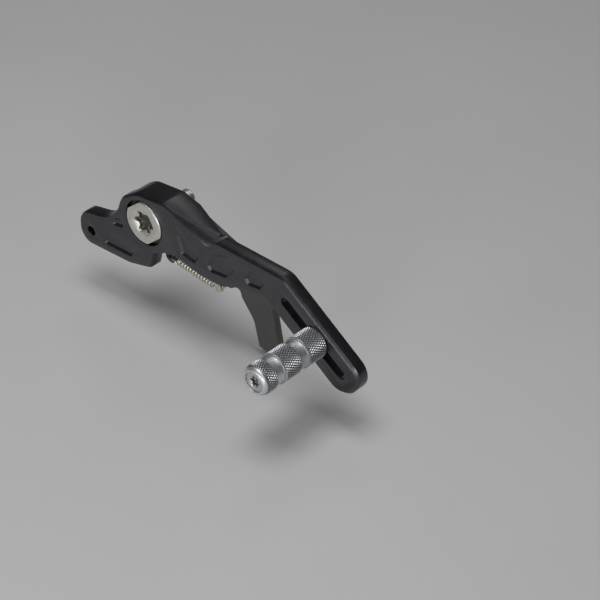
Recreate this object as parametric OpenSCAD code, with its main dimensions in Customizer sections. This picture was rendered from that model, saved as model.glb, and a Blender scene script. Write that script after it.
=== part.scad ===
// Rear brake pedal: a milled lever on a bushed pivot, with a return spring, a fixed bracket
// and a knurled toe peg that slides along a slot in the foot.
// Origin on the pivot axis at the face that the pedal is screwed to. +X forward, +Y inboard, +Z up.

/* [Lever] */
// Thickness of the arm, the foot and the tail
arm_t = 8; // [6.5:0.5:9]
// Thickness of the hub around the pivot
hub_t = 17; // [16.5:0.5:22]
// Radius of the hub around the pivot
hub_r = 17.5; // [17:0.5:20]
// Height of the arm's top edge above the pivot
arm_top = 13.7; // [12.5:0.1:15]
// Drop of the arm's straight lower edge below the pivot
arm_drop = 6.2; // [4.5:0.1:7.5]
// Depth of the pockets milled into the outer face
pocket_d = 1.25; // [0.8:0.05:1.5]
// Depth of the chamfer along the outer edges
edge_d = 1.5; // [0.8:0.1:2]

/* [Foot] */
// Slope of the foot below the level
foot_angle = 34.5; // [28:0.5:40]
// Forward distance from the pivot to the slot's near end
slot_x = 107.5; // [104:0.5:120]
// Length of the slot between the centres of its ends
slot_l = 48; // [42:0.2:54]
// Width of the slot
slot_w = 6.6; // [6.3:0.1:7.5]
// Width of the foot above the slot's centre line
foot_top = 11.9; // [11:0.1:13.5]
// Width of the foot below the slot's centre line
foot_low = 12.1; // [11:0.1:13.5]

/* [Tail] */
// Distance of the pushrod pin behind the pivot
tail_x = 44; // [40:0.5:50]
// Distance of the pushrod pin below the pivot
tail_drop = 26; // [24:0.5:28]
// Radius of the tail around the pushrod pin
tail_r = 9.5; // [8.5:0.1:10.5]
// Diameter of the hole for the pushrod pin
pin_hole_d = 6.1; // [5:0.1:8]

/* [Pivot] */
// Diameter of the screw's head
head_d = 26.8; // [25:0.1:28]
// Thickness of the screw's head
head_t = 3.8; // [3.4:0.1:4.4]
// Height of the head above the lever's outer face
head_proud = 0.7; // [0.3:0.1:1.2]
// Diameter of the screw's shank inside the sleeve
shank_d = 12; // [10.5:0.1:13]
// Diameter of the threaded end
thread_d = 10; // [8:0.5:10]
// Length of the threaded end beyond the mounting face
thread_l = 14; // [10:0.5:20]
// Outside diameter of the sleeve that the lever turns on
sleeve_d = 18; // [16:0.1:18.4]
// Wall of the plain bushes
bush_t = 1.96; // [1.5:0.02:2.5]
// Length of each plain bush
bush_l = 4.2; // [3:0.1:4.3]
// Thickness of the rubber seal rings
seal_d = 2.1; // [1.8:0.1:2.2]

/* [Bracket] */
// Thickness of the bracket's steel plate
bracket_t = 4.5; // [3:0.5:6]
// Radius of the bracket's eye around the pivot
eye_r = 12.5; // [10:0.5:13]
// Width of the leg at its lower end
leg_w = 17.4; // [15:0.1:19]
// Diameter of the dowel hole that keeps the bracket from turning
dowel_hole_d = 6.5; // [5.5:0.1:8.5]
// Thickness of the washer between the hub and the bracket
washer_t = 1; // [0.5:0.1:1.5]

/* [Spring] */
// Diameter of the spring's wire
wire_d = 0.95; // [0.7:0.05:1.1]
// Mean diameter of the coils
coil_d = 5.2; // [4.5:0.1:5.6]
// Depth of the spring's axis behind the lever's outer face
spring_depth = 11; // [10.5:0.1:12]
// Diameter of the post that holds the front hook
post_d = 4; // [3:0.1:4.2]

/* [Toe peg] */
// Diameter over the knurled bands
peg_d = 18.4; // [17:0.1:19.5]
// Diameter at the bottom of the two grooves
groove_d = 16.6; // [14.5:0.1:16.8]
// Lengths of the three knurled bands from the foot outwards
band_l = [12.7, 11.1, 6.8]; // [3:0.1:16]
// Length of each groove
groove_l = 6; // [3:0.1:8]
// Width of the smooth rim beside each groove
rim_w = 1.3; // [0.5:0.1:2]
// Length of the smooth rounded nose
nose_l = 2.4; // [1.8:0.1:3]
// Distance of the peg from the slot's near end
peg_at = 25.8; // [20:0.1:28]
// Diameter of the peg's screw
screw_d = 6; // [5:0.1:6.1]
// Diameter of the peg screw's countersunk head
screw_head_d = 11.4; // [10.5:0.1:12]

/* [Hidden] */
$fn = 64;

// Clearances
run_gap = 0.04;
side_gap = 0.2;
head_gap = 0.3;
loose_gap = 0.1;
rest_gap = 0.3;
over = 1;

// Largest step of an arc in an outline, in degrees
arc_step = 9;

// Stack along the pivot, as depths behind the lever's outer face
head_under = head_t - head_proud;
recess_floor = head_under + head_gap;
recess_r = head_d / 2 + 0.9;
sleeve_r = sleeve_d / 2;
bush_bore_r = sleeve_r + run_gap;
bush_r = bush_bore_r + bush_t;
seal_room = seal_d + 0.15;
seal_seat_r = bush_bore_r + seal_d + 0.05;
washer_at = hub_t + side_gap;
washer_r = bush_r + 3.5;
bracket_at = washer_at + washer_t;
mount_at = bracket_at + bracket_t;
face_y = -mount_at;

// Slot and foot, measured along the slot and across it
slot_z = -1.9;
foot_end = slot_l + 12;
function along(u, v) = [slot_x + u * cos(foot_angle) + v * sin(foot_angle),
                        slot_z - u * sin(foot_angle) + v * cos(foot_angle)];
bend_top_u = (slot_z + foot_top * cos(foot_angle) - arm_top) / sin(foot_angle);
bend_low_u = (slot_z - foot_low * cos(foot_angle) + arm_drop) / sin(foot_angle);

// Chamfer widths of the lever's outer edges
thin = 0.7;
mid = 1.3;
wide = 1.9;

function corner(p, r, c) = [p.x, p.y, r, c];

// Corners of the lever from the tail's end forwards along the bottom and back along the top:
// x, z, corner radius, and the chamfer of the edge that follows
outline = [
    corner([-tail_x - tail_r, -tail_drop - tail_r - 0.4], tail_r - 0.2, thin),
    corner([-13, -33.9], 16, thin),
    corner([3.8, -29.4], 2.6, thin),
    corner([6.6, -18.4], 3, thin),
    corner([16, -13.6], 6, thin),
    corner([24, -12], 10, thin),
    corner([44, -15.4], 14, thin),
    corner([60, -15], 12, thin),
    corner([74.5, -arm_drop - 2], 9, thin),
    corner(along(bend_low_u, -foot_low), 10, thin),
    corner(along(foot_end, -foot_low), 11.4, wide),
    corner(along(foot_end, foot_top), 10.5, wide),
    corner(along(bend_top_u, foot_top), 12, mid),
    corner([57.5, arm_top], 4, mid),
    corner([51.5, arm_top - 1.8], 6, mid),
    corner([24, hub_r + 0.3], 5, mid),
    corner([15, hub_r + 2.4], 9, mid),
    corner([-6, hub_r], 12, mid),
    corner([-hub_r - 1, 9], 10, thin),
    corner([-24, -9], 22, thin),
    corner([-tail_x - tail_r, -tail_drop + tail_r + 1], tail_r - 0.4, thin)
];

function unit(v) = v / norm(v);
function flat(p) = [p.x, p.y];
function left_of(v) = [-v.y, v.x];

// Points of a closed outline whose corners are rounded
function rounded(path) = [
    for (i = [0 : len(path) - 1])
        let (before = flat(path[(i + len(path) - 1) % len(path)]),
             at = flat(path[i]),
             after = flat(path[(i + 1) % len(path)]),
             r = path[i].z,
             e0 = unit(at - before),
             e1 = unit(after - at),
             turn = atan2(cross(e0, e1), e0 * e1),
             cut = r * tan(abs(turn) / 2),
             centre = at - e0 * cut + left_of(e0) * r * sign(turn),
             n = max(1, ceil(abs(turn) / arc_step - 0.01)))
        for (k = [0 : n])
            let (a = turn * k / n,
                 spoke = -left_of(e0) * r * sign(turn))
            centre + [spoke.x * cos(a) - spoke.y * sin(a), spoke.x * sin(a) + spoke.y * cos(a)]
];

// The same outline moved in by a share of each edge's chamfer, or out where the share is negative
function moved_in(path, share) = [
    for (i = [0 : len(path) - 1])
        let (last = path[(i + len(path) - 1) % len(path)],
             at = flat(path[i]),
             n0 = left_of(unit(at - flat(last))),
             n1 = left_of(unit(flat(path[(i + 1) % len(path)]) - at)),
             c0 = last[3] * share,
             c1 = path[i][3] * share,
             inward = (c0 * [n1.y, -n1.x] + c1 * [-n0.y, n0.x]) / cross(n0, n1),
             r = path[i].z - sign(cross(n0, n1)) * (c0 + c1) / 2)
        [at.x + inward.x, at.y + inward.y, r]
];

// A flat shape in X and Z, from one depth behind the outer face to another
module plate(from, to) {
    translate([0, face_y + to, 0])
        rotate([90, 0, 0])
            linear_extrude(to - from) children();
}

// A round bar or hole along Y between two depths
module bar(p, r, from, to) {
    translate([p.x, face_y + to, p.y])
        rotate([90, 0, 0])
            cylinder(h = to - from, r = r);
}

// A turned shape whose profile gives radius and depth
module turned(p) {
    translate([p.x, face_y, p.y])
        rotate([-90, 0, 0])
            rotate_extrude() children();
}

// A six-lobed star recess
module star(tip) {
    difference() {
        union() {
            circle(r = tip * 0.8);
            for (a = [0 : 60 : 300]) rotate(a) translate([tip * 0.8, 0]) circle(r = tip * 0.2);
        }
        for (a = [30 : 60 : 330]) rotate(a) translate([tip * 0.98, 0]) circle(r = tip * 0.27);
    }
}

// Recess with a dished mouth, from the head's face inwards
module star_recess(p, tip, from, deep) {
    turned(p) polygon([[0, from - over], [tip * 1.1, from - over], [tip * 1.1, from],
                       [tip * 0.8, from + tip * 0.16], [0, from + tip * 0.16]]);
    translate([p.x, 0, p.y]) plate(from, from + deep) star(tip);
}

// Cutter of triangular section that runs round the outline and leaves the chamfers
module chamfer_rim() {
    beyond = 0.5;
    inner = rounded(moved_in(outline, 1 + beyond));
    outer = rounded(moved_in(outline, -beyond));
    high = face_y - beyond * edge_d;
    low = face_y + (1 + beyond) * edge_d;
    n = len(inner);
    points = concat([for (p = inner) [p.x, high, p.y]], [for (p = outer) [p.x, high, p.y]],
                    [for (p = outer) [p.x, low, p.y]]);
    polyhedron(points, [for (i = [0 : n - 1]) for (k = [0 : 2])
        let (j = (i + 1) % n, m = (k + 1) % 3) [k * n + i, k * n + j, m * n + j, m * n + i]]);
}

// Sizes of the hub's inner side: it thins from the hub to the arm
taper_from = 28;
taper_to = 58;

module hub_block() {
    intersection() {
        plate(0, hub_t) polygon(rounded(outline));
        plate(0, hub_t) {
            circle(r = hub_r + 0.5);
            polygon([[0, -19], [taper_to + 4, -19], [taper_to + 4, 25], [-6, 25], [-6, 0]]);
        }
        linear_extrude(100, center = true)
            polygon([[-30, face_y], [taper_to + 4, face_y], [taper_to + 4, face_y + arm_t - 0.5],
                     [taper_to, face_y + arm_t], [taper_from, face_y + hub_t], [-30, face_y + hub_t]]);
    }
}

// Ear below the hub that holds the spring's rear hook
ear = [11, -22.5];
ear_r = 4;
ear_t = 3.4;
ear_hole_r = 1.6;

module spring_ear() {
    plate(spring_depth - ear_t / 2, spring_depth + ear_t / 2) {
        translate(ear) circle(r = ear_r);
        polygon([[ear.x - ear_r, ear.y], [ear.x + ear_r, ear.y], [21, -10], [3, -10]]);
    }
}

// Wide slanted chamfer cut into the waist between the hub and the arm
waist_from = [25, 15.8];
waist_slope = 20.4;
waist_l = 31;
waist_end_r = 9;

module waist_cut() {
    translate([waist_from.x, face_y, waist_from.y])
        rotate([0, waist_slope, 0])
            rotate([45, 0, 0])
                linear_extrude(16)
                    polygon(rounded([[-12, 0, 0.5], [waist_l, 0, waist_end_r], [waist_l, 18, 1], [-12, 18, 1]]));
}

// Pockets in the outer face, as corners with radii that are larger than the pockets are deep
pockets = [
    [[24.6, 7.8, 1.8], [29, -7.2, 1.8], [39.2, -9, 1.8], [43.4, -2.8, 1.8]],
    [[48.6, -5, 2], [51, -8.6, 2], [63.4, -6.9, 2], [70.4, 1.2, 2], [65, 8.6, 2.5], [54.2, 4.6, 3]],
    [[77, 0, 2], [79.4, -3.6, 1.8], [88.8, -2.2, 1.8], [92, 3, 2], [88, 7.4, 2.5], [80.2, 5.6, 3]],
    [[-33.5, -29.6, 2], [-11.6, -28.8, 2], [-9.4, -25.4, 2], [-12.6, -19.8, 2], [-33, -21.4, 3]],
    [[-27, -13.6, 1.8], [-16.4, -11.4, 1.8], [-18.4, -5.5, 2], [-24.4, -8, 2]]
];

// Cutter for a pocket whose walls slope in at 45 degrees
module pocket_cutter(corners) {
    beyond = 0.5;
    path = [for (c = corners) corner(c, c.z, pocket_d)];
    rim = rounded(moved_in(path, -beyond));
    floor = rounded(moved_in(path, 1));
    n = len(rim);
    points = concat([for (p = rim) [p.x, face_y - beyond * pocket_d, p.y]],
                    [for (p = floor) [p.x, face_y + pocket_d, p.y]]);
    walls = [for (i = [0 : n - 1]) let (j = (i + 1) % n) [i, j, n + j, n + i]];
    polyhedron(points, concat([[for (i = [1 : n]) n - i], [for (i = [0 : n - 1]) n + i]], walls));
}

// Rest stop: a pin on the bracket in a short slot in the hub's inner side
travel = 9;
stop_r = 24.2;
stop_angle = -7;
stop_pin_r = 2.5;
buffer_r = 3.8;
stop_from = hub_t - 5;
function stop_at(a) = [stop_r * cos(a), stop_r * sin(a)];

module stop_slot() {
    low = stop_at(stop_angle);
    high = stop_at(stop_angle + travel);
    r = buffer_r + rest_gap;
    for (p = [low, high]) bar(p, r, stop_from, hub_t + over);
    plate(stop_from, hub_t + over)
        polygon([low + [r, 0], high + [r, 0], high - [r, 0], low - [r, 0]]);
}

module lever() {
    slot_far = along(slot_l, 0);
    color("#37373a")
    difference() {
        union() {
            plate(0, arm_t) polygon(rounded(outline));
            hub_block();
            spring_ear();
        }
        chamfer_rim();
        waist_cut();
        for (p = pockets) pocket_cutter(p);
        bar([0, 0], recess_r, -over, recess_floor);
        bar([0, 0], seal_seat_r, -over, recess_floor + seal_room);
        bar([0, 0], bush_r, -over, hub_t + over);
        bar([0, 0], seal_seat_r, hub_t - seal_room, hub_t + over);
        stop_slot();
        bar(ear, ear_hole_r, spring_depth - ear_t, spring_depth + ear_t);
        bar([-tail_x, -tail_drop], pin_hole_d / 2, -over, arm_t + over);
        bar(along(0, 0), slot_w / 2, -over, arm_t + over);
        bar(slot_far, slot_w / 2, -over, arm_t + over);
        plate(-over, arm_t + over)
            polygon([along(0, slot_w / 2), along(slot_l, slot_w / 2),
                     along(slot_l, -slot_w / 2), along(0, -slot_w / 2)]);
    }
}

module bush(from) {
    color("#a08348")
    turned([0, 0])
        polygon([[bush_bore_r, from], [bush_r, from], [bush_r, from + bush_l], [bush_bore_r, from + bush_l]]);
}

module outer_bush() {
    bush(recess_floor + seal_room);
}

module inner_bush() {
    bush(hub_t - seal_room - bush_l);
}

module seal(depth) {
    color("#151515")
    turned([0, 0])
        translate([bush_bore_r + seal_d / 2, depth]) circle(r = seal_d / 2);
}

module outer_seal() {
    seal(recess_floor + seal_room / 2);
}

module inner_seal() {
    seal(hub_t - seal_room / 2);
}

module pivot_sleeve() {
    color("#b9b7b0")
    turned([0, 0])
        polygon([[shank_d / 2 + loose_gap, head_under], [sleeve_r, head_under],
                 [sleeve_r, bracket_at], [shank_d / 2 + loose_gap, bracket_at]]);
}

// Flats on the screw's head, and the slope that they run at
flats = 23.2;
flats_slope = 40.5;
star_tip = 6.6;
shoulder_at = mount_at - 0.7;
thread_end = mount_at + thread_l;

module pivot_screw() {
    color("#d9d6cb")
    difference() {
        intersection() {
            turned([0, 0])
                polygon([[0, -head_proud], [head_d / 2 - 0.6, -head_proud], [head_d / 2, -head_proud + 0.6],
                         [head_d / 2, head_under], [shank_d / 2, head_under], [shank_d / 2, shoulder_at],
                         [thread_d / 2, shoulder_at], [thread_d / 2, thread_end - 1],
                         [thread_d / 2 - 1, thread_end], [0, thread_end]]);
            translate([0, face_y - over, 0])
                rotate([0, -flats_slope, 0])
                    translate([-head_d, 0, -flats / 2]) cube([head_d * 2, thread_end + 2 * over, flats]);
        }
        star_recess([0, 0], star_tip, -head_proud, head_t - 0.9);
    }
}

module thrust_washer() {
    color("#c9c6bd")
    turned([0, 0])
        polygon([[sleeve_r + loose_gap, washer_at], [washer_r, washer_at],
                 [washer_r, bracket_at], [sleeve_r + loose_gap, bracket_at]]);
}

// Post for the spring's front hook, the dowel's hole and the leg's lower corners
post = [47.5, -26.6];
dowel = [66, -15];
leg_low = [70.5, -60];
leg_far = leg_low + leg_w * [cos(16.7), -sin(16.7)];

// Corners of the bracket's strap and leg, with radii
strap = [
    [-3, -eye_r + 0.4, 0.5], [18, -17, 9], [36, -28.6, 8], [48.5, -31, 4], [56, -26, 3], [57.2, -32.4, 9],
    [66.6, -44, 11], [leg_low.x, leg_low.y, 0.8], [leg_far.x, leg_far.y, 2],
    [81.9, -36, 20], [77.5, -5.5, 6], [52, -1.5, 14], [24, 8, 14], [3, eye_r - 0.4, 0.5]
];

module spring_bracket() {
    color("#45413d")
    difference() {
        plate(bracket_at, mount_at) {
            circle(r = eye_r);
            polygon(rounded(strap));
        }
        bar([0, 0], shank_d / 2 + loose_gap, bracket_at - over, mount_at + over);
        bar(dowel, dowel_hole_d / 2, bracket_at - over, mount_at + over);
        bar(post, post_d / 2, bracket_at - over, mount_at + over);
        bar(stop_at(stop_angle), stop_pin_r, bracket_at - over, mount_at + over);
    }
}

// Post with a flange at its tip that keeps the hook on
post_tip = spring_depth - wire_d / 2 - 1.1;

module spring_post() {
    color("#5b5a57")
    turned(post)
        polygon([[0, post_tip], [post_d / 2 + 0.7, post_tip], [post_d / 2 + 0.7, post_tip + 0.8],
                 [post_d / 2, post_tip + 0.8], [post_d / 2, mount_at], [0, mount_at]]);
}

module stop_pin() {
    color("#8d8b86")
    bar(stop_at(stop_angle), stop_pin_r, stop_from + 0.6, mount_at);
}

module stop_buffer() {
    color("#1a1a1a")
    difference() {
        bar(stop_at(stop_angle), buffer_r, stop_from + 0.8, bracket_at);
        bar(stop_at(stop_angle), stop_pin_r, stop_from, mount_at);
    }
}

// Wire of the return spring, as a path of points along its centre: distance along the spring's
// axis from the ear's hole, then sideways, then up
coil_r = coil_d / 2;
hook_r = post_d / 2 + wire_d / 2 + 0.12;
rear_hook_r = 2.6;
span = norm(post - ear);
lean = atan2(post.y - ear.y, post.x - ear.x);
coil_from = 2 * rear_hook_r + 0.6;
coil_to = span - hook_r - 1.6;
first_turn = 220;
last_turn = 50 + 360 * round((coil_to - coil_from) / (wire_d * 1.08));
turn_step = 30;
hook_step = 21;
coil_steps = round((last_turn - first_turn) / turn_step);
wire_sides = 6;

// Points of a smooth link between two places with their directions
function link(p, p_way, q, q_way, n) = [
    for (k = [1 : n - 1])
        let (t = k / n)
        p * (1 + 2 * t) * (1 - t) * (1 - t) + p_way * t * (1 - t) * (1 - t)
            + q * t * t * (3 - 2 * t) + q_way * t * t * (t - 1)
];

rear_hook = [for (a = [60 : hook_step : 270]) rear_hook_r * [1 + cos(a), sin(a), 0]];
coils = [
    for (k = [0 : coil_steps])
        let (t = k / coil_steps, a = first_turn + (last_turn - first_turn) * t)
        [coil_from + (coil_to - coil_from) * t, coil_r * cos(a), coil_r * sin(a)]
];
front_hook = [for (a = [90 : -hook_step : -120]) [span + hook_r * cos(a), 0, hook_r * sin(a)]];
rear_link = link(rear_hook[len(rear_hook) - 1], [4, 0, 0], coils[0],
                 4 * [0, -sin(first_turn), cos(first_turn)], 5);
front_link = link(coils[coil_steps], 4 * [0, -sin(last_turn), cos(last_turn)], front_hook[0], [4, 0, 0], 5);
wire_path = concat(rear_hook, rear_link, coils, front_link, front_hook);

// Directions square to a path, carried along it without twisting
function way_at(path, i) = unit(path[min(i + 1, len(path) - 1)] - path[max(i - 1, 0)]);
function squared(side, way) = unit(side - (side * way) * way);
function sides_of(path) = [
    for (i = 0, side = squared([0.1, 0.2, 1], way_at(path, 0)); i < len(path);
         side = squared(side, way_at(path, min(i + 1, len(path) - 1))), i = i + 1) side
];

// Round section swept along a path
module swept(path, r) {
    n = len(path);
    m = wire_sides;
    sides = sides_of(path);
    points = [
        for (i = [0 : n - 1])
            let (side = sides[i], other = cross(way_at(path, i), side))
            for (k = [0 : m - 1]) path[i] + r * (side * cos(360 * k / m) + other * sin(360 * k / m))
    ];
    walls = [
        for (i = [0 : n - 2]) for (k = [0 : m - 1])
            let (a = i * m + k, b = i * m + (k + 1) % m)
            each [[a, b + m, b], [a, a + m, b + m]]
    ];
    first = [for (k = [1 : m - 2]) [0, k, k + 1]];
    end = (n - 1) * m;
    last = [for (k = [1 : m - 2]) [end, end + k + 1, end + k]];
    polyhedron(points, concat(first, walls, last));
}

module return_spring() {
    color("#b6a883")
    translate([ear.x, face_y + spring_depth, ear.y])
        rotate([0, -lean, 0])
            swept(wire_path, wire_d / 2);
}

// Places of the peg's bands, outwards from the foot
peg_p = along(peg_at, 0);
band_1 = band_l[0];
band_2_from = band_1 + rim_w + groove_l;
band_2 = band_2_from + band_l[1];
band_3_from = band_2 + rim_w + groove_l;
band_3 = band_3_from + band_l[2];
peg_l = band_3 + nose_l;
peg_r = peg_d / 2;
bore_r = screw_d / 2 + loose_gap;
base_bevel = 0.9;
nose_r = nose_l - 0.1;
nose_from = peg_r - 0.1;

module toe_peg() {
    color("#c4c6c8")
    turned(peg_p)
        polygon(concat(
            [[bore_r, 0], [peg_r - base_bevel, 0], [peg_r, -base_bevel], [peg_r, -band_1]],
            [[peg_r + 0.1, -band_1 - 0.1], [peg_r + 0.1, -band_1 - rim_w], [groove_d / 2, -band_1 - rim_w - 0.3],
             [groove_d / 2, -band_2_from + 0.2], [peg_r, -band_2_from - 0.3], [peg_r, -band_2]],
            [[peg_r + 0.1, -band_2 - 0.1], [peg_r + 0.1, -band_2 - rim_w], [groove_d / 2, -band_2 - rim_w - 0.3],
             [groove_d / 2, -band_3_from + 0.2], [peg_r, -band_3_from - 0.3], [peg_r, -band_3]],
            [for (a = [0 : 15 : 90]) [nose_from - nose_r + nose_r * cos(a), -peg_l + nose_r - nose_r * sin(a)]],
            [[screw_head_d / 2 + 0.25, -peg_l], [screw_head_d / 2 + 0.25, -peg_l + head_sink],
             [bore_r, -peg_l + head_sink + screw_head_d / 2 + 0.25 - bore_r]]));
}

// Countersunk screw that clamps the peg and the nut
head_sink = 0.5;
screw_face = -peg_l + head_sink;
nut_boss_l = 4;
nut_t = 4;
nut_end = arm_t + nut_t;

module peg_screw() {
    r = screw_head_d / 2;
    color("#c9cbd0")
    difference() {
        turned(peg_p)
            polygon([[0, screw_face], [r, screw_face], [r, screw_face + 0.2],
                     [screw_d / 2, screw_face + 0.2 + r - screw_d / 2], [screw_d / 2, nut_end + 1.2],
                     [screw_d / 2 - 0.7, nut_end + 2], [0, nut_end + 2]]);
        star_recess(peg_p, screw_d * 0.45, screw_face, 2.4);
    }
}

// Sliding nut behind the foot, with a boss guided in the slot
nut_l = 18;
nut_w = 12;

module slot_nut() {
    boss_r = slot_w / 2 - loose_gap;
    near = peg_at - nut_boss_l / 2;
    far = peg_at + nut_boss_l / 2;
    color("#8f9194")
    difference() {
        union() {
            plate(arm_t, nut_end)
                polygon(rounded([for (s = [[-1, -1], [1, -1], [1, 1], [-1, 1]])
                    let (p = along(peg_at + s.x * nut_l / 2, s.y * nut_w / 2)) [p.x, p.y, 1.5]]));
            bar(along(near, 0), boss_r, 2.5, arm_t);
            bar(along(far, 0), boss_r, 2.5, arm_t);
            plate(2.5, arm_t)
                polygon([along(near, -boss_r), along(far, -boss_r), along(far, boss_r), along(near, boss_r)]);
        }
        bar(peg_p, screw_d / 2 + 0.02, 0, nut_end + over);
    }
}

lever();
outer_bush();
inner_bush();
outer_seal();
inner_seal();
pivot_sleeve();
pivot_screw();
thrust_washer();
spring_bracket();
spring_post();
stop_pin();
stop_buffer();
return_spring();
toe_peg();
peg_screw();
slot_nut();
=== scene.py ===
"""Looks of a motorbike rear brake pedal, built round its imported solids."""

import math

import bmesh
import bpy
import numpy as np
from mathutils import Matrix, Vector


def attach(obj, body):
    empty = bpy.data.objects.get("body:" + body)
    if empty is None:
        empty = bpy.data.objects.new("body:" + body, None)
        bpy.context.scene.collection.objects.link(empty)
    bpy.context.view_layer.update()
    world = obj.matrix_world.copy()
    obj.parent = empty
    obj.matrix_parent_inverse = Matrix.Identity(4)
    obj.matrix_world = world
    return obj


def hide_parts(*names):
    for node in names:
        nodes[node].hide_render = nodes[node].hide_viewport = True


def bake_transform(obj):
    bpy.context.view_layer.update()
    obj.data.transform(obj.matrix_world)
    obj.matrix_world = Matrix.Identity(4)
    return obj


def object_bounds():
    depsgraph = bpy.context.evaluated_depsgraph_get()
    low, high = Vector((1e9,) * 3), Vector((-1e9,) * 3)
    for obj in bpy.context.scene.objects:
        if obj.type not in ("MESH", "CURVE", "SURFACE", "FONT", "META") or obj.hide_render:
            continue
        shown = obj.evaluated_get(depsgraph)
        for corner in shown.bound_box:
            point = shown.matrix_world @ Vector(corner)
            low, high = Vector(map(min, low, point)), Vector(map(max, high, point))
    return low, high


MM = 0.001
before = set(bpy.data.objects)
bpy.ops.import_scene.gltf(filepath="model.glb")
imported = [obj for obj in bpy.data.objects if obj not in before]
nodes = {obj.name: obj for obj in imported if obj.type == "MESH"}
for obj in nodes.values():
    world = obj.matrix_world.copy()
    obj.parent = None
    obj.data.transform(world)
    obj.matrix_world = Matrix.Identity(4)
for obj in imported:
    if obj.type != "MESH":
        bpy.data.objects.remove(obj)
cad_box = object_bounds()

# Sizes and places in mm, as in the solids; a place is (x, z), and the lever's outer face lies at FACE_Y
PIVOT = (0.0, 0.0)
FACE_Y = -22.7
PIVOT_HEAD_Y = FACE_Y - 0.7
SLOPE = math.radians(34.5)
FOOT_FROM = (107.5, -1.9)
PEG_AT = 25.8
PEG = (FOOT_FROM[0] + PEG_AT * math.cos(SLOPE), FOOT_FROM[1] - PEG_AT * math.sin(SLOPE))
PEG_R = 9.2
BANDS = (12.7, 11.1, 6.8)
RIM_W = 1.3
GROOVE_R = 8.3
GROOVE_L = 6.0
NOSE_L = 2.4
PEG_L = sum(BANDS) + 2 * (RIM_W + GROOVE_L) + NOSE_L
PEG_BORE_R = 3.1
SCREW_SEAT_R = 5.95
SCREW_SUNK = 0.5
SCREW_FACE_Y = FACE_Y - PEG_L + SCREW_SUNK
EAR = (11.0, -22.5)
POST = (47.5, -26.6)
SPRING_Y = FACE_Y + 11.0

# Camera: angles of the photograph, focal length in pixels of a frame 600 wide, distance in metres,
# and a point of the pedal with its place in the photograph
FRAME_PX = 600
AZIMUTH = math.radians(42.48)
ELEVATION = math.radians(36.56)
FOCAL_PX = 2500.0
SENSOR_MM = 36
DISTANCE = 1.394
AIM = Vector((0, FACE_Y * MM, 0))
AIM_PX = (143.9, 223.1)


def make_camera():
    """Camera at the photograph's angle that puts the aimed point on its place in the picture."""
    right = Vector((math.cos(AZIMUTH), math.sin(AZIMUTH), 0))
    up = Vector((-math.sin(AZIMUTH) * math.sin(ELEVATION), math.cos(AZIMUTH) * math.sin(ELEVATION),
                 math.cos(ELEVATION)))
    back = right.cross(up)
    across = (AIM_PX[0] - FRAME_PX / 2) / FOCAL_PX
    upwards = -(AIM_PX[1] - FRAME_PX / 2) / FOCAL_PX
    data = bpy.data.cameras.new("camera")
    data.sensor_width = SENSOR_MM
    data.lens = FOCAL_PX / FRAME_PX * SENSOR_MM
    data.clip_start = 0.01
    data.clip_end = 50
    cam = bpy.data.objects.new("camera", data)
    bpy.context.scene.collection.objects.link(cam)
    cam.location = AIM - DISTANCE * (across * right + upwards * up - back)
    cam.rotation_mode = "QUATERNION"
    cam.rotation_quaternion = Matrix((right, up, back)).transposed().to_quaternion()
    bpy.context.scene.camera = cam


def new_node(tree, kind, **values):
    """Shader node whose inputs and settings are given by name."""
    node = tree.nodes.new(kind)
    for key, value in values.items():
        if key in node.inputs:
            node.inputs[key].default_value = value
        else:
            setattr(node, key, value)
    return node


def ranged(tree, socket, start, end, first, last):
    """Socket that goes from first to last while another goes from start to end."""
    span = new_node(tree, "ShaderNodeMapRange")
    span.inputs["From Min"].default_value = start
    span.inputs["From Max"].default_value = end
    span.inputs["To Min"].default_value = first
    span.inputs["To Max"].default_value = last
    tree.links.new(socket, span.inputs["Value"])
    return span.outputs["Result"]


def product(tree, a, b):
    """Socket with the product of two others."""
    times = new_node(tree, "ShaderNodeMath", operation="MULTIPLY")
    tree.links.new(a, times.inputs[0])
    tree.links.new(b, times.inputs[1])
    return times.outputs[0]


# Part of a noise's values over which colour and roughness change
NOISE_LOW = 0.3
NOISE_HIGH = 0.7


def material(name, dark, light, metallic, rough, grain=900.0,
             bump=0.0, bump_scale=5000.0, distance=0.00002):
    """Material whose colour and roughness vary between two values by a soft noise, with a fine bump."""
    mat = bpy.data.materials.new(name)
    mat.use_nodes = True
    tree = mat.node_tree
    shader = tree.nodes["Principled BSDF"]
    shader.inputs["Metallic"].default_value = metallic
    link = tree.links.new
    where = new_node(tree, "ShaderNodeTexCoord")
    soft = new_node(tree, "ShaderNodeTexNoise", Scale=grain, Detail=5.0, Roughness=0.6)
    link(where.outputs["Object"], soft.inputs["Vector"])
    ramp = new_node(tree, "ShaderNodeValToRGB")
    ramp.color_ramp.elements[0].position = NOISE_LOW
    ramp.color_ramp.elements[1].position = NOISE_HIGH
    ramp.color_ramp.elements[0].color = (*dark, 1)
    ramp.color_ramp.elements[1].color = (*light, 1)
    link(soft.outputs["Fac"], ramp.inputs["Fac"])
    link(ramp.outputs["Color"], shader.inputs["Base Color"])
    link(ranged(tree, soft.outputs["Fac"], NOISE_LOW, NOISE_HIGH, *rough), shader.inputs["Roughness"])
    if bump:
        fine = new_node(tree, "ShaderNodeTexNoise", Scale=bump_scale, Detail=3.0)
        link(where.outputs["Object"], fine.inputs["Vector"])
        relief = new_node(tree, "ShaderNodeBump", Strength=bump, Distance=distance)
        link(fine.outputs["Fac"], relief.inputs["Height"])
        link(relief.outputs["Normal"], shader.inputs["Normal"])
    return mat


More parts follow.
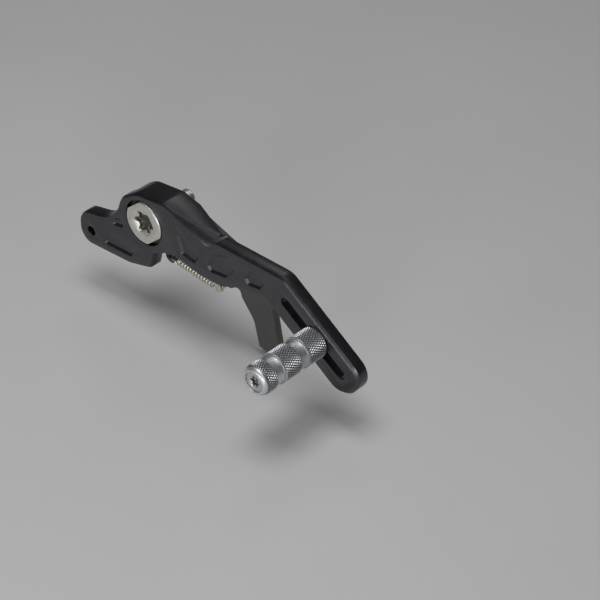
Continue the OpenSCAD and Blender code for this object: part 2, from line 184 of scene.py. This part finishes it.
def axis_distance(tree, centre):
    """Sockets with the distance of a point from an axis along Y, and with its place along Y."""
    where = new_node(tree, "ShaderNodeTexCoord")
    split = new_node(tree, "ShaderNodeSeparateXYZ")
    flat = new_node(tree, "ShaderNodeCombineXYZ")
    away = new_node(tree, "ShaderNodeVectorMath", operation="DISTANCE")
    away.inputs[1].default_value = (centre[0] * MM, centre[1] * MM, 0)
    link = tree.links.new
    link(where.outputs["Object"], split.inputs[0])
    link(split.outputs["X"], flat.inputs["X"])
    link(split.outputs["Z"], flat.inputs["Y"])
    link(flat.outputs[0], away.inputs[0])
    return away.outputs["Value"], split.outputs["Y"]


def darkened(mat, factor, colour):
    """Paints shade into a material: multiplies its own base colour by another one, by a factor.

    Inputs 0, 6 and 7 of a mix of colours are its factor and the two colours; output 2 is the result.
    """
    tree = mat.node_tree
    base = tree.nodes["Principled BSDF"].inputs["Base Color"]
    mix = new_node(tree, "ShaderNodeMix", data_type="RGBA", blend_type="MULTIPLY")
    tree.links.new(base.links[0].from_socket, mix.inputs[6])
    mix.inputs[7].default_value = (*colour, 1)
    tree.links.new(factor, mix.inputs[0])
    tree.links.new(mix.outputs[2], base)


# Widths in mm over which painted shade fades: at a pit's wall, at its bottom and at a ring's inner side
WALL_FADE = 0.3
BOTTOM_FADE = 0.2
RING_FADE = 0.12


def paint_pit_shade(mat, centre, radius, start, end, bottom, colour):
    """Painted shade in a round pit along Y: none before start, all of it from end on, and none past the
    bottom.
    """
    tree = mat.node_tree
    away, along = axis_distance(tree, centre)
    inside = ranged(tree, away, radius * MM, (radius + WALL_FADE) * MM, 1, 0)
    deep = ranged(tree, along, start * MM, end * MM, 0, 1)
    ended = ranged(tree, along, bottom * MM, (bottom + BOTTOM_FADE) * MM, 1, 0)
    darkened(mat, product(tree, product(tree, deep, ended), inside), colour)


def paint_ring_shade(mat, centre, inner, low, high, colour):
    """Painted shade round an axis along Y: all of it between inner and low, and none any more at high."""
    tree = mat.node_tree
    away = axis_distance(tree, centre)[0]
    rise = ranged(tree, away, (inner - RING_FADE) * MM, inner * MM, 0, 1)
    fall = ranged(tree, away, low * MM, high * MM, 1, 0)
    darkened(mat, product(tree, rise, fall), colour)


def dress(obj, mat):
    """Gives an object one material in place of what it had."""
    obj.data.materials.clear()
    obj.data.materials.append(mat)


ANODISED = material("anodised", (0.090, 0.090, 0.096), (0.110, 0.110, 0.118), 1.0, (0.29, 0.36),
                    grain=260, bump=0.25, bump_scale=4200)
SILVER = material("silver", (0.66, 0.675, 0.70), (0.76, 0.77, 0.79), 1.0, (0.42, 0.50),
                  grain=700, bump=0.12, bump_scale=3500)
# Painted shade in the knurl's valleys, fading out towards the diamonds' tips
paint_ring_shade(SILVER, PEG, inner=8.55, low=8.75, high=PEG_R, colour=(0.36, 0.36, 0.37))
PALE = material("pale_steel", (0.68, 0.675, 0.63), (0.80, 0.79, 0.74), 1.0, (0.38, 0.48),
                grain=420, bump=0.2, bump_scale=2600)
# Painted shade deep in the pivot screw's star recess: darker base colour from 1.3 mm below the head's face
paint_pit_shade(PALE, PIVOT, radius=8.2, start=PIVOT_HEAD_Y + 1.3, end=PIVOT_HEAD_Y + 2.2,
           bottom=PIVOT_HEAD_Y + 6.7, colour=(0.17, 0.15, 0.135))
SCREW = material("end_screw", (0.56, 0.565, 0.57), (0.68, 0.68, 0.68), 1.0, (0.30, 0.40), grain=600)
# Painted shade deep in the peg screw's star recess, as for the pivot screw
paint_pit_shade(SCREW, PEG, radius=3.6, start=SCREW_FACE_Y + 0.4, end=SCREW_FACE_Y + 1.5,
           bottom=SCREW_FACE_Y + 4.1, colour=(0.36, 0.37, 0.36))
ZINC = material("zinc", (0.52, 0.525, 0.54), (0.66, 0.66, 0.66), 1.0, (0.28, 0.38), grain=600)
WIRE = material("spring_wire", (0.72, 0.67, 0.55), (0.86, 0.81, 0.70), 1.0, (0.26, 0.36),
                grain=900, bump=0.1, bump_scale=9000)
CREAM = material("cream_zinc", (0.60, 0.57, 0.48), (0.72, 0.69, 0.60), 1.0, (0.30, 0.40), grain=600)
COATED = material("black_coat", (0.056, 0.054, 0.052), (0.076, 0.073, 0.070), 0.0, (0.42, 0.55),
                  grain=300, bump=0.35, bump_scale=1300, distance=0.00004)
BRONZE = material("bronze", (0.36, 0.25, 0.12), (0.50, 0.37, 0.19), 1.0, (0.35, 0.48), grain=800)
RUBBER = material("rubber", (0.012, 0.012, 0.013), (0.022, 0.022, 0.023), 0.0, (0.62, 0.78),
                  grain=800, bump=0.2, bump_scale=3000)

NODE_LOOKS = {
    "lever": ANODISED,
    "outer_bush": BRONZE,
    "inner_bush": BRONZE,
    "outer_seal": RUBBER,
    "inner_seal": RUBBER,
    "pivot_sleeve": ZINC,
    "pivot_screw": PALE,
    "thrust_washer": ZINC,
    "spring_bracket": COATED,
    "spring_post": CREAM,
    "stop_pin": ZINC,
    "stop_buffer": RUBBER,
    "return_spring": WIRE,
    "toe_peg": SILVER,
    "peg_screw": SCREW,
    "slot_nut": ZINC,
}

# Width in mm of the rounding that each solid's edges get
EDGE_WIDTHS = {
    "lever": 0.18,
    "spring_bracket": 0.35,
    "pivot_screw": 0.15,
    "peg_screw": 0.08,
    "slot_nut": 0.25,
    "thrust_washer": 0.1,
    "spring_post": 0.12,
}

# Angles in degrees: below which two facets are one flat face, above which an edge is rounded,
# and above which an edge is shaded sharp
FLAT_ANGLE = 0.4
ROUNDED_ANGLE = 30
SHARP_ANGLE = 32

# Distances at which points count as one: of a solid, in mm, and of a new mesh, in metres
WELD = 0.001
SAME_POINT = 1e-7


def smooth_group(angle):
    """Node group that shades faces smooth and keeps edges sharper than the angle."""
    name = "smooth_%d" % angle
    if name in bpy.data.node_groups:
        return bpy.data.node_groups[name]
    tree = bpy.data.node_groups.new(name, "GeometryNodeTree")
    tree.interface.new_socket("Geometry", in_out="INPUT", socket_type="NodeSocketGeometry")
    tree.interface.new_socket("Geometry", in_out="OUTPUT", socket_type="NodeSocketGeometry")
    start = tree.nodes.new("NodeGroupInput")
    end = tree.nodes.new("NodeGroupOutput")
    faces = tree.nodes.new("GeometryNodeSetShadeSmooth")
    edges = tree.nodes.new("GeometryNodeSetShadeSmooth")
    edges.domain = "EDGE"
    drop = tree.nodes.new("GeometryNodeRemoveAttribute")
    drop.inputs["Name"].default_value = "custom_normal"
    turn = tree.nodes.new("GeometryNodeInputMeshEdgeAngle")
    less = tree.nodes.new("FunctionNodeCompare")
    less.data_type = "FLOAT"
    less.operation = "LESS_THAN"
    less.inputs[1].default_value = math.radians(angle)
    link = tree.links.new
    link(start.outputs[0], drop.inputs["Geometry"])
    link(drop.outputs["Geometry"], faces.inputs["Geometry"])
    link(faces.outputs["Geometry"], edges.inputs["Geometry"])
    link(turn.outputs["Unsigned Angle"], less.inputs[0])
    link(less.outputs["Result"], edges.inputs["Shade Smooth"])
    link(edges.outputs["Geometry"], end.inputs[0])
    return tree


def shade(obj, angle):
    """Smooth shading with sharp edges above an angle in degrees."""
    shading = obj.modifiers.new("shading", "NODES")
    shading.node_group = smooth_group(angle)


def finish_edges(obj, width, close=0.0):
    """Welds and cleans a solid's facets, rounds its edges a little and shades it by angle.

    Points that the rounding leaves closer together than close, in mm, are merged.
    """
    weld = obj.modifiers.new("weld", "WELD")
    weld.merge_threshold = WELD * MM
    if width:
        flat = obj.modifiers.new("flat", "DECIMATE")
        flat.decimate_type = "DISSOLVE"
        flat.angle_limit = math.radians(FLAT_ANGLE)
        bevel = obj.modifiers.new("bevel", "BEVEL")
        bevel.width = width * MM
        bevel.segments = 2
        bevel.limit_method = "ANGLE"
        bevel.angle_limit = math.radians(ROUNDED_ANGLE)
        bevel.miter_outer = "MITER_ARC"
        bevel.use_clamp_overlap = True
    if close:
        merge = obj.modifiers.new("merge", "WELD")
        merge.merge_threshold = close * MM
    shade(obj, SHARP_ANGLE)


def dress_nodes():
    """Every solid's material and edges."""
    for name, obj in nodes.items():
        dress(obj, NODE_LOOKS[name])
        finish_edges(obj, EDGE_WIDTHS.get(name, 0.0))


def new_object(name, mesh, mat):
    """Object of a mesh, in the scene and with its material."""
    obj = bpy.data.objects.new(name, mesh)
    bpy.context.scene.collection.objects.link(obj)
    dress(obj, mat)
    return obj


def fill_holes(fix):
    """Closes every open ring of a mesh with one face."""
    bmesh.ops.holes_fill(fix, edges=[e for e in fix.edges if e.is_boundary], sides=0)


def mesh_object(name, points, faces, mat):
    """Closed object from points in mm; what falls together is merged and open rings are filled."""
    data = bpy.data.meshes.new(name)
    data.from_pydata([tuple(Vector(p) * MM) for p in points], [], faces)
    fix = bmesh.new()
    fix.from_mesh(data)
    bmesh.ops.remove_doubles(fix, verts=fix.verts, dist=SAME_POINT)
    fill_holes(fix)
    bmesh.ops.recalc_face_normals(fix, faces=fix.faces)
    fix.to_mesh(data)
    fix.free()
    return new_object(name, data, mat)


# Knurl: starts of the grooves each way, length of a diamond, depth, grid steps in half a diamond,
# and the share of a diamond's height that its flat tip keeps
KNURLS = 38
DIAMOND_L = 2.6
KNURL_DEPTH = 0.55
HALF_STEPS = 4
FLAT_TIP = 0.75
KNURL_LOW_R = PEG_R - KNURL_DEPTH

# Peg's end: length and drop in radius of the rounded nose, its rows, how much further the last band is
# knurled, width and depth of the gap round the screw, and the radius below which the nose cuts nothing
NOSE_ROUND = 5.2
NOSE_DROP = 2.9
NOSE_ROWS = 16
NOSE_FROM = PEG_L - NOSE_ROUND
LAST_BAND_MORE = 0.5
SCREW_GAP = 0.2
SCREW_GAP_DEPTH = 1.1
CUT_FROM_R = SCREW_SEAT_R + 0.5

# Peg's edges, as steps along the peg and in radius: a band's end, a rim's two sides, a groove's two sides,
# the lip before the next band, and the mouth at the nose
BAND_END = ((0.05, 0.0),)
RIM_START = ((0.12, -0.12), (0.24, 0.0))
RIM_END = ((-0.22, 0.0), (-0.06, -0.1), (0.0, -0.25))
GROOVE_START = ((0.04, 0.2), (0.12, 0.06), (0.3, 0.0))
GROOVE_END = ((-0.3, 0.0), (-0.12, 0.06))
LIP = ((-0.03, -0.1),)
MOUTH = ((0.0, 0.14), (-0.04, 0.04), (-0.14, 0.0))

# Chamfer at the foot, how far a rim stands above the knurl, and how far a band's first row lies below it:
# in the first band, which follows the chamfer, and in the others
FOOT_CHAMFER = 0.9
RIM_PROUD = 0.1
FIRST_LOW = 0.05
OTHERS_LOW = 0.08


def wave(t):
    """0 at even numbers, 1 at odd ones, straight between."""
    return abs((t + 1) % 2 - 1)


def nose_cap(out):
    """Radius that the rounded nose leaves at a distance from the foot."""
    if out <= NOSE_FROM:
        return PEG_R
    share = min(1.0, (out - NOSE_FROM) / (PEG_L - NOSE_FROM))
    return PEG_R - NOSE_DROP * (1 - math.sqrt(1 - share * share))


def stepped(place, radius, steps):
    """Points (distance from the foot, radius) at steps from one of them."""
    return [(place + along, radius + outward) for along, outward in steps]


def peg_rows():
    """Rows as (distance from the foot, radius, knurl phase or None), to the nose and into the bore."""
    step = DIAMOND_L / 2 / HALF_STEPS
    first_r = PEG_R - FIRST_LOW
    rows = [(0.0, PEG_BORE_R, None), (0.0, first_r - FOOT_CHAMFER, None), (FOOT_CHAMFER, first_r, 0.0)]

    def knurled(start, end):
        for k in range(1, math.floor((end - start) / step) + 1):
            rows.append((start + k * step, PEG_R, k / HALF_STEPS))
        rows.append((end, PEG_R, (end - start) / step / HALF_STEPS))

    def plain(points):
        rows.extend((out, r, None) for out, r in points)

    knurled(FOOT_CHAMFER, BANDS[0])
    for length in BANDS[1:]:
        end = rows[-1][0]
        wall = end + RIM_W
        far = wall + GROOVE_L
        rim = PEG_R + RIM_PROUD
        plain(stepped(end, KNURL_LOW_R, BAND_END))
        plain(stepped(end, rim, RIM_START) + stepped(wall, rim, RIM_END))
        plain(stepped(wall, GROOVE_R, GROOVE_START) + stepped(far, GROOVE_R, GROOVE_END))
        plain(stepped(far, KNURL_LOW_R, LIP))
        rows.append((far, PEG_R - OTHERS_LOW, 0.5))
        more = LAST_BAND_MORE if length == BANDS[-1] else 0.0
        knurled(far, far + length + more)
    first = math.asin((rows[-1][0] - NOSE_FROM) / NOSE_ROUND)
    for k in range(1, NOSE_ROWS + 1):
        out = NOSE_FROM + NOSE_ROUND * math.sin(first + (math.pi / 2 - first) * k / NOSE_ROWS)
        plain([(out, nose_cap(out))])
    ring = SCREW_SEAT_R + SCREW_GAP
    floor = PEG_L - SCREW_GAP_DEPTH
    plain(stepped(PEG_L, ring, MOUTH))
    plain([(floor, ring), (floor, SCREW_SEAT_R - (SCREW_GAP_DEPTH - SCREW_SUNK)),
           (PEG_L - SCREW_SUNK - (SCREW_SEAT_R - PEG_BORE_R), PEG_BORE_R)])
    return rows


def knurl_radius(row, column):
    """Radius of a point of the peg's grid, with the diamonds and the rounded nose."""
    out, r, phase = row
    cap = nose_cap(out)
    if phase is None:
        return min(r, cap) if r > CUT_FROM_R else r
    u = column / HALF_STEPS
    height = min(wave(u + phase), wave(u - phase), FLAT_TIP) / FLAT_TIP
    return min(r - KNURL_DEPTH * (1 - height), cap)


def build_peg():
    """Peg as a grid round its axis; a diamond's grid cells are cut along its edges."""
    rows = peg_rows()
    columns = 2 * KNURLS * HALF_STEPS
    points, faces = [], []
    for row in rows:
        for m in range(columns):
            angle = 2 * math.pi * m / columns
            r = knurl_radius(row, m)
            points.append((PEG[0] + r * math.cos(angle), FACE_Y - row[0], PEG[1] + r * math.sin(angle)))
    count = len(rows)
    for j in range(count):
        k = (j + 1) % count
        phases = rows[j][2], rows[k][2]
        for m in range(columns):
            n = (m + 1) % columns
            a, b, c, d = j * columns + m, j * columns + n, k * columns + n, k * columns + m
            if None in phases:
                faces.append((a, b, c, d))
                continue
            u, v = (m + 0.5) / HALF_STEPS, sum(phases) / 2
            if wave(u + v) < wave(u - v):
                faces += [(a, b, d), (b, c, d)]
            else:
                faces += [(a, b, c), (a, c, d)]
    peg = mesh_object("knurled_peg", points, faces, SILVER)
    shade(peg, angle=24)
    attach(peg, "peg")
    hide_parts("toe_peg")


# Thread: steps in a turn, points round it, depth as a share of the pitch, how steep the flanks are and how
# much of the root is flat, length of the plain start in mm, and how far the end's chamfer passes the root
TURN_STEPS = 12
THREAD_SIDES = 48
THREAD_DEPTH = 0.6
FLANK = 1.25
ROOT_FLAT = 0.12
RUN_IN = 0.4
END_CHAMFER = 0.1


def thread_mesh(name, centre, start, length, radius, pitch, mat):
    """Rod along +Y with a V thread; its rows follow the helix and are held at the two ends."""
    depth = THREAD_DEPTH * pitch
    root = radius - depth
    end_r = radius - (depth + END_CHAMFER)
    points, faces = [], []
    first, last = -TURN_STEPS, math.ceil(length / pitch) * TURN_STEPS
    for i in range(first, last + 1):
        phase = (i / TURN_STEPS) % 1
        height = min(1.0, max(0.0, FLANK * wave(2 * phase) - ROOT_FLAT))
        for m in range(THREAD_SIDES):
            along = (i / TURN_STEPS + m / THREAD_SIDES) * pitch
            y = min(max(along, 0.0), length)
            a = -2 * math.pi * m / THREAD_SIDES
            r = min(root + depth * height, root + max(0.0, y - RUN_IN), end_r + (length - y))
            if along <= 0.0:
                r = root
            if along >= length:
                r = end_r
            points.append((centre[0] + r * math.cos(a), start + y, centre[1] + r * math.sin(a)))
    rings = last - first
    for i in range(rings):
        for m in range(THREAD_SIDES):
            n = (m + 1) % THREAD_SIDES
            a, d = i * THREAD_SIDES + m, (i + 1) * THREAD_SIDES + m
            # Behind the last column the helix has risen by a turn
            up = i + TURN_STEPS if n == 0 else i
            if up + 1 > rings:
                continue
            b, c = up * THREAD_SIDES + n, (up + 1) * THREAD_SIDES + n
            faces.append((a, b, c, d))
    return mesh_object(name, points, faces, mat)


# Star recess, in shares of the radius to its lobes' tips: radius of a lobe's round end, distance of the
# ridges from the middle, and the ridges' own radius, with which the two kinds of arc touch
LOBE_R = 0.2
RIDGE_AT = 0.68
LOBE_AT = 1 - LOBE_R
SIXTH = math.pi / 3
RIDGE_R = ((LOBE_AT ** 2 + RIDGE_AT ** 2 - 2 * LOBE_AT * RIDGE_AT * math.cos(SIXTH / 2) - LOBE_R ** 2)
           / (2 * (LOBE_R + LOBE_AT * math.cos(SIXTH / 2) - RIDGE_AT)))

# Its mouth's slope, the floor's share of the outline, the floor's cone as a share of the tips' radius,
# cuts in each side of the old rim, and how far from the old recess its points may lie, in mm
MOUTH_SLOPE = 0.5
FLOOR_SHARE = 0.96
FLOOR_CONE = 0.2
RIM_CUTS = 3
NEAR_RIM = 0.03
NEAR_FLOOR = 0.1


def star_radius(angle, tip):
    """Outline of a recess with round lobes at 0, 60, 120 degrees and so on, and round ridges between."""
    off = abs((angle + SIXTH / 2) % SIXTH - SIXTH / 2)
    centre = RIDGE_AT + RIDGE_R
    share = LOBE_R / (LOBE_R + RIDGE_R)
    touch_x = LOBE_AT + share * (centre * math.cos(SIXTH / 2) - LOBE_AT)
    touch_y = share * centre * math.sin(SIXTH / 2)
    if off < math.atan2(touch_y, touch_x):
        return tip * (LOBE_AT * math.cos(off) + math.sqrt(LOBE_R ** 2 - (LOBE_AT * math.sin(off)) ** 2))
    back = SIXTH / 2 - off
    return tip * (centre * math.cos(back) - math.sqrt(RIDGE_R ** 2 - (centre * math.sin(back)) ** 2))


def recut_star(fix, centre, face, old_rim, deep, tip, rim):
    """Takes a recess out of a head's mesh and puts in one with a dished mouth and rounded lobes."""
    cx, cz = centre

    def away(v):
        return math.hypot(v.co.x / MM - cx, v.co.z / MM - cz)

    def angle_of(v):
        return math.atan2(v.co.z / MM - cz, v.co.x / MM - cx)

    def place(radius, angle, y):
        return (cx + radius * math.cos(angle)) * MM, y * MM, (cz + radius * math.sin(angle)) * MM

    lowest = face + deep + NEAR_FLOOR
    inner = {v for v in fix.verts if away(v) < old_rim + NEAR_RIM and v.co.y / MM < lowest}
    gone = [f for f in fix.faces if all(v in inner for v in f.verts)]
    bmesh.ops.delete(fix, geom=gone, context="FACES")
    edges = [e for e in fix.edges if e.is_boundary and all(v in inner for v in e.verts)]
    bmesh.ops.subdivide_edges(fix, edges=edges, cuts=RIM_CUTS)
    loop = [v for v in fix.verts if v.is_boundary and away(v) < old_rim + NEAR_RIM]
    loop.sort(key=angle_of)
    edge, floor = [], []
    for v in loop:
        a = angle_of(v)
        r = star_radius(a, tip)
        v.co = place(rim, a, face)
        edge.append(fix.verts.new(place(r, a, face + MOUTH_SLOPE * (rim - r))))
        floor.append(fix.verts.new(place(FLOOR_SHARE * r, a, face + deep)))
    middle = fix.verts.new(place(0.0, 0.0, face + deep + FLOOR_CONE * tip))
    for m in range(len(loop)):
        n = (m + 1) % len(loop)
        for upper, lower in ((loop, edge), (edge, floor)):
            fix.faces.new((upper[m], upper[n], lower[n], lower[m]))
        fix.faces.new((floor[m], floor[n], middle))
    bmesh.ops.recalc_face_normals(fix, faces=fix.faces)


def cut_copy(name, node, keep_below, mat, centre, star):
    """Copy of a screw's mesh up to a plane across Y, closed there, with its recess cut anew."""
    source = nodes[node]
    data = source.data.copy()
    data.transform(source.matrix_world)
    fix = bmesh.new()
    fix.from_mesh(data)
    bmesh.ops.remove_doubles(fix, verts=fix.verts, dist=SAME_POINT)
    geometry = list(fix.verts) + list(fix.edges) + list(fix.faces)
    bmesh.ops.bisect_plane(fix, geom=geometry, plane_co=(0, keep_below * MM, 0), plane_no=(0, 1, 0),
                           clear_outer=True)
    fill_holes(fix)
    recut_star(fix, centre, **star)
    fix.to_mesh(data)
    fix.free()
    data.name = name
    return new_object(name, data, mat)


# How far a screw's head piece reaches into its thread, and what its rounding may merge, in mm
OVERLAP = 0.2
HEAD_MERGE = 0.004


def build_screw(node, body, centre, thread_from, thread_to, radius, pitch, star):
    """A screw's own head and shank with a real thread in place of its plain end."""
    mat = NODE_LOOKS[node]
    head = cut_copy(node + "_head", node, thread_from + OVERLAP, mat, centre, star)
    finish_edges(head, EDGE_WIDTHS[node], close=HEAD_MERGE)
    length = thread_to - thread_from
    thread = thread_mesh(node + "_thread", centre, thread_from, length, radius, pitch, mat)
    shade(thread, angle=30)
    for obj in (head, thread):
        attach(obj, body)
        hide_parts(node)


def build_pivot_screw():
    """Screw with the wide head, whose thread reaches past the mounting face."""
    build_screw("pivot_screw", "mount", PIVOT,
                thread_from=-0.7, thread_to=14.0, radius=5.0, pitch=1.5,
                star={"face": PIVOT_HEAD_Y, "old_rim": 7.26, "deep": 2.9, "tip": 7.5, "rim": 8.1})


def build_peg_screw():
    """Countersunk screw whose thread shows behind the nut."""
    build_screw("peg_screw", "peg", PEG,
                thread_from=FACE_Y + 8.0, thread_to=FACE_Y + 14.0, radius=3.0, pitch=1.0,
                star={"face": SCREW_FACE_Y, "old_rim": 2.97, "deep": 2.4, "tip": 3.3, "rim": 3.9})


# Spring: wire, turns and hooks, with the gaps between them along the axis, in mm
WIRE_R = 0.475
WIRE_SIDES = 12
COIL_R = 2.6
COIL_PITCH = 2.0
HOOK_R = 2.595
REAR_GAP = 0.6
FRONT_GAP = 1.6

# Angles in degrees: first and last of the turns, step along them, and the two hooks' arcs
COIL_FIRST = 220.0
COIL_LAST = 50.0
COIL_STEP = 15
REAR_HOOK = range(60, 271, 10)
FRONT_HOOK = range(90, -121, -10)

# Links between turns and hooks: how far each end's direction carries, in mm, and their steps
LINK_PULL = 4.0
LINK_STEPS = 12


def swept(points, radius, sides):
    """Round tube along points, as vertices and faces."""
    points = [np.array(p, float) for p in points]
    out, faces = [], []
    side = np.array((0.1, 0.2, 1.0))
    for i, p in enumerate(points):
        way = points[min(i + 1, len(points) - 1)] - points[max(i - 1, 0)]
        way = way / np.linalg.norm(way)
        side = side - side.dot(way) * way
        side /= np.linalg.norm(side)
        other = np.cross(way, side)
        for k in range(sides):
            a = 2 * math.pi * k / sides
            out.append(tuple(p + radius * (side * math.cos(a) + other * math.sin(a))))
    for i in range(len(points) - 1):
        for k in range(sides):
            a, b = i * sides + k, i * sides + (k + 1) % sides
            faces.append((a, b, b + sides, a + sides))
    return out, faces


def link_points(p, p_way, q, q_way):
    """Points of a smooth link between two places with their directions."""
    p, p_way, q, q_way = (np.array(x, float) for x in (p, p_way, q, q_way))
    out = []
    for k in range(1, LINK_STEPS):
        t = k / LINK_STEPS
        out.append(p * (1 + 2 * t) * (1 - t) ** 2 + p_way * t * (1 - t) ** 2
                   + q * t * t * (3 - 2 * t) + q_way * t * t * (t - 1))
    return out


def turned(angle):
    """Cosine and sine of an angle in degrees."""
    return math.cos(math.radians(angle)), math.sin(math.radians(angle))


def round_coil(angle):
    """Direction along the turns at an angle, as long as the links' pull."""
    c, s = turned(angle)
    return 0, -LINK_PULL * s, LINK_PULL * c


def build_spring():
    """Wire from the hook in the lever's ear through the turns to the hook on the post."""
    axis = np.array((POST[0] - EAR[0], 0, POST[1] - EAR[1]), float)
    span = np.linalg.norm(axis)
    axis /= span
    side = np.array((0.0, 1.0, 0.0))
    up = np.cross(axis, side)
    coil_from = 2 * COIL_R + REAR_GAP
    coil_to = span - HOOK_R - FRONT_GAP
    last = COIL_LAST + 360.0 * round((coil_to - coil_from) / COIL_PITCH)
    steps = round((last - COIL_FIRST) / COIL_STEP)
    rear = [COIL_R * np.array((1 + turned(a)[0], turned(a)[1], 0)) for a in REAR_HOOK]
    coils = []
    for k in range(steps + 1):
        t = k / steps
        c, s = turned(COIL_FIRST + (last - COIL_FIRST) * t)
        coils.append(np.array((coil_from + (coil_to - coil_from) * t, COIL_R * c, COIL_R * s)))
    front = [np.array((span + HOOK_R * turned(a)[0], 0, HOOK_R * turned(a)[1])) for a in FRONT_HOOK]
    ahead = (LINK_PULL, 0, 0)
    path = (rear + link_points(rear[-1], ahead, coils[0], round_coil(COIL_FIRST)) + coils
            + link_points(coils[-1], round_coil(last), front[0], ahead) + front)
    start = np.array((EAR[0], SPRING_Y, EAR[1]))
    path = [start + p[0] * axis + p[1] * side + p[2] * up for p in path]
    points, faces = swept(path, WIRE_R, WIRE_SIDES)
    spring = mesh_object("return_coil", points, faces, WIRE)
    shade(spring, angle=40)
    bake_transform(spring)
    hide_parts("return_spring")


# Studio, in metres: half the floor's width, its place below the pedal, and the point that the lamps face
FLOOR_HALF = 4.0
FLOOR_GAP = 0.0015
LIT_POINT = (0.06, -0.02, -0.02)


def area_light(name, way, distance, size, power):
    """Square lamp that faces the pedal, in metres and watts; the camera doesn't see it."""
    data = bpy.data.lights.new(name, "AREA")
    data.shape = "SQUARE"
    data.size = size
    data.energy = power
    obj = bpy.data.objects.new(name, data)
    bpy.context.scene.collection.objects.link(obj)
    obj.visible_camera = False
    way = Vector(way).normalized()
    obj.location = Vector(LIT_POINT) + way * distance
    obj.rotation_mode = "QUATERNION"
    obj.rotation_quaternion = way.to_track_quat("Z", "Y")


def make_floor():
    """Plain pale floor just below the pedal."""
    z = cad_box[0].z - FLOOR_GAP
    h = FLOOR_HALF
    data = bpy.data.meshes.new("floor")
    data.from_pydata([(-h, -h, z), (h, -h, z), (h, h, z), (-h, h, z)], [], [(0, 1, 2, 3)])
    grey = material("pale_floor", (0.61, 0.61, 0.61), (0.63, 0.63, 0.63), 0.0, (0.7, 0.8), grain=6)
    floor = new_object("floor", data, grey)


def make_light():
    """Overhead lamp, a weak key from behind, two cards in front and a dim world."""
    area_light("overhead", (0.02, -0.13, 1), distance=1.3, size=0.75, power=9)
    area_light("rear_key", (-0.40, 0.59, 0.70), distance=1.2, size=0.24, power=0.38)
    area_light("nose_card", (0.60, -0.76, 0.24), distance=1.1, size=0.34, power=2.4)
    area_light("front_card", (0.02, -1.0, 0.10), distance=0.9, size=0.32, power=1.6)
    world = bpy.data.worlds.new("world")
    bpy.context.scene.world = world
    world.use_nodes = True
    back = world.node_tree.nodes["Background"]
    back.inputs["Color"].default_value = (0.75, 0.77, 0.8, 1)
    back.inputs["Strength"].default_value = 0.10
    bpy.context.scene.view_settings.view_transform = "Standard"


make_camera()
dress_nodes()
build_peg()
build_pivot_screw()
build_peg_screw()
build_spring()
make_floor()
make_light()
